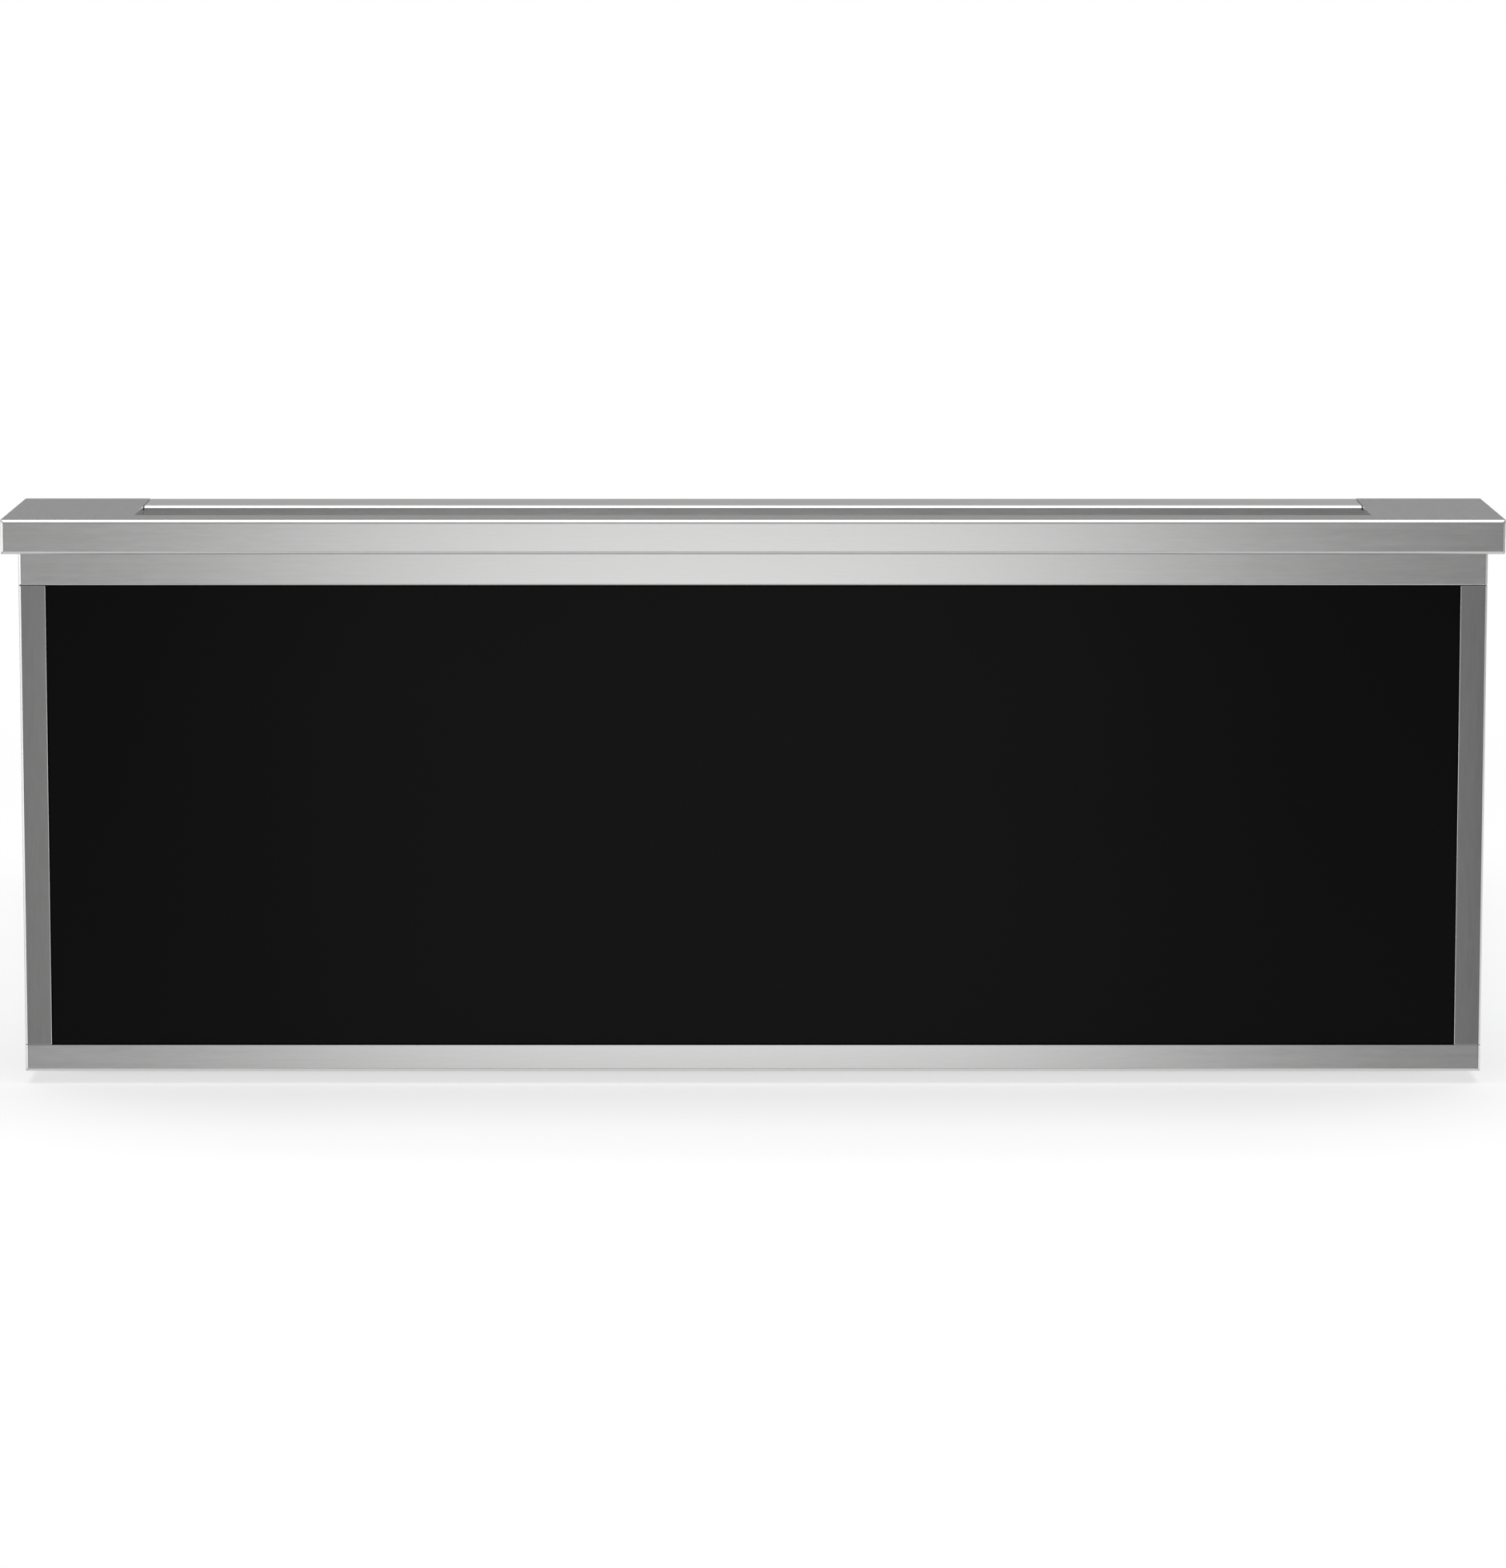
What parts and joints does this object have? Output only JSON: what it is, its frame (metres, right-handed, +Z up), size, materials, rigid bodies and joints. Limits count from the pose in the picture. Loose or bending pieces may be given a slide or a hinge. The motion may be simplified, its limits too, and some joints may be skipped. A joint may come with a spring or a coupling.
{
  "type": "warming drawer",
  "caption": "Wide low built-in heated drawer: stainless framed black glass front with a full-width ledge handle, sliding tub on ball-bearing runners, heated steel chassis.",
  "frame": {"origin": "centre of the whole object's footprint, at the underside of the chassis base", "axes": "+X right along the front, +Y back into the cabinet, +Z up; the front faces -Y"},
  "size_m": [0.756, 0.6654, 0.302],
  "materials": {
    "brushed_stainless": "brushed stainless steel, fine straight grain",
    "black_glass": "back-painted black tempered glass, polished",
    "cavity_steel": "plain mill-finish stainless sheet",
    "galvanised_steel": "galvanised sheet steel, dull spangle",
    "zinc_steel": "bright zinc-plated steel",
    "chrome_wire": "bright chrome plate",
    "black_plastic": "satin black moulded plastic",
    "fascia_glass": "gloss black control fascia",
    "button_plastic": "satin dark grey moulded plastic",
    "display_lens": "smoked clear display window",
    "grey_metal": "grey motor housing",
    "element_sheath": "dull heat-darkened tubular sheath",
    "silicone_rubber": "matt black silicone bulb gasket",
    "mineral_wool": "pale mineral-wool blanket",
    "circuit_board": "green circuit board with parts"
  },
  "bodies": {
    "chassis": {"chassis_base": "galvanised_steel", "chassis_side_left": "galvanised_steel", "chassis_side_right": "galvanised_steel", "chassis_top": "galvanised_steel", "chassis_rear": "galvanised_steel", "front_frame": "brushed_stainless", "mounting_flange_left": "galvanised_steel", "mounting_flange_right": "galvanised_steel", "liner_side_left": "cavity_steel", "liner_side_right": "cavity_steel", "liner_floor": "cavity_steel", "liner_top": "cavity_steel", "liner_rear": "cavity_steel", "insulation_blanket": "mineral_wool", "insulation_base": "mineral_wool", "heating_element": "element_sheath", "heat_deflector": "cavity_steel", "temperature_sensor": "chrome_wire", "limit_thermostat": "black_plastic", "fan_motor": "grey_metal", "fan_cover": "cavity_steel", "control_housing": "galvanised_steel", "control_fascia": "fascia_glass", "display_lens": "display_lens", "control_board": "circuit_board", "power_board": "circuit_board", "cord_bushing": "black_plastic", "slide_outer_left": "zinc_steel", "slide_outer_right": "zinc_steel"},
    "drawer": {"front_top_rail": "brushed_stainless", "front_bottom_rail": "brushed_stainless", "front_stile_left": "brushed_stainless", "front_stile_right": "brushed_stainless", "front_glass": "black_glass", "front_insulation": "mineral_wool", "front_inner_panel": "cavity_steel", "bar_handle": "brushed_stainless", "front_gasket": "silicone_rubber", "drawer_tub": "cavity_steel", "vent_guide_upper": "cavity_steel", "vent_guide_lower": "cavity_steel", "wire_rack": "chrome_wire", "slide_inner_left": "zinc_steel", "slide_inner_right": "zinc_steel"},
    "vent_slider": {"vent_slider": "cavity_steel"},
    "fan": {"fan_impeller": "cavity_steel"},
    "slide_middle_left": {"slide_middle_left": "zinc_steel"},
    "ball_cage_outer_left": {"ball_cage_outer_left": "zinc_steel"},
    "ball_cage_inner_left": {"ball_cage_inner_left": "zinc_steel"},
    "release_lever_left": {"release_lever_left": "black_plastic"},
    "slide_middle_right": {"slide_middle_right": "zinc_steel"},
    "ball_cage_outer_right": {"ball_cage_outer_right": "zinc_steel"},
    "ball_cage_inner_right": {"ball_cage_inner_right": "zinc_steel"},
    "release_lever_right": {"release_lever_right": "black_plastic"},
    "button_power": {"button_power": "button_plastic"},
    "button_low": {"button_low": "button_plastic"},
    "button_medium": {"button_medium": "button_plastic"},
    "button_high": {"button_high": "button_plastic"},
    "button_timer": {"button_timer": "button_plastic"}
  },
  "joints": [
    {"name": "drawer_slide", "type": "slide", "parent": "chassis", "child": "drawer", "axis": [0, -1, 0], "range_m": [0, 0.44]},
    {"name": "slide_middle_left_travel", "type": "slide", "parent": "chassis", "child": "slide_middle_left", "axis": [0, -1, 0], "range_m": [0, 0.22]},
    {"name": "ball_cage_outer_left_travel", "type": "slide", "parent": "chassis", "child": "ball_cage_outer_left", "axis": [0, -1, 0], "range_m": [0, 0.11]},
    {"name": "ball_cage_inner_left_travel", "type": "slide", "parent": "chassis", "child": "ball_cage_inner_left", "axis": [0, -1, 0], "range_m": [0, 0.33]},
    {"name": "release_lever_left_pivot", "type": "hinge", "parent": "drawer", "child": "release_lever_left", "pos_m": [-0.3285, 0.14615, 0.105], "axis": [1, 0, 0], "range_deg": [0, 10], "stiffness_Nm_per_rad": 0.02},
    {"name": "slide_middle_right_travel", "type": "slide", "parent": "chassis", "child": "slide_middle_right", "axis": [0, -1, 0], "range_m": [0, 0.22]},
    {"name": "ball_cage_outer_right_travel", "type": "slide", "parent": "chassis", "child": "ball_cage_outer_right", "axis": [0, -1, 0], "range_m": [0, 0.11]},
    {"name": "ball_cage_inner_right_travel", "type": "slide", "parent": "chassis", "child": "ball_cage_inner_right", "axis": [0, -1, 0], "range_m": [0, 0.33]},
    {"name": "release_lever_right_pivot", "type": "hinge", "parent": "drawer", "child": "release_lever_right", "pos_m": [0.3285, 0.14615, 0.105], "axis": [1, 0, 0], "range_deg": [0, 10], "stiffness_Nm_per_rad": 0.02},
    {"name": "vent_slider_travel", "type": "slide", "parent": "drawer", "child": "vent_slider", "axis": [1, 0, 0], "range_m": [0, 0.007]},
    {"name": "fan_spin", "type": "hinge", "parent": "chassis", "child": "fan", "pos_m": [0, 0.27435, 0.105], "axis": [0, 1, 0], "continuous": true},
    {"name": "button_power_press", "type": "slide", "parent": "chassis", "child": "button_power", "axis": [0, 1, 0], "range_m": [0, 0.0012], "stiffness_N_per_m": 600},
    {"name": "button_low_press", "type": "slide", "parent": "chassis", "child": "button_low", "axis": [0, 1, 0], "range_m": [0, 0.0012], "stiffness_N_per_m": 600},
    {"name": "button_medium_press", "type": "slide", "parent": "chassis", "child": "button_medium", "axis": [0, 1, 0], "range_m": [0, 0.0012], "stiffness_N_per_m": 600},
    {"name": "button_high_press", "type": "slide", "parent": "chassis", "child": "button_high", "axis": [0, 1, 0], "range_m": [0, 0.0012], "stiffness_N_per_m": 600},
    {"name": "button_timer_press", "type": "slide", "parent": "chassis", "child": "button_timer", "axis": [0, 1, 0], "range_m": [0, 0.0012], "stiffness_N_per_m": 600}
  ],
  "couplings": [
    {"joint": "slide_middle_left_travel", "follows": "drawer_slide", "ratio": 0.5},
    {"joint": "ball_cage_outer_left_travel", "follows": "drawer_slide", "ratio": 0.25},
    {"joint": "ball_cage_inner_left_travel", "follows": "drawer_slide", "ratio": 0.75},
    {"joint": "slide_middle_right_travel", "follows": "drawer_slide", "ratio": 0.5},
    {"joint": "ball_cage_outer_right_travel", "follows": "drawer_slide", "ratio": 0.25},
    {"joint": "ball_cage_inner_right_travel", "follows": "drawer_slide", "ratio": 0.75}
  ]
}
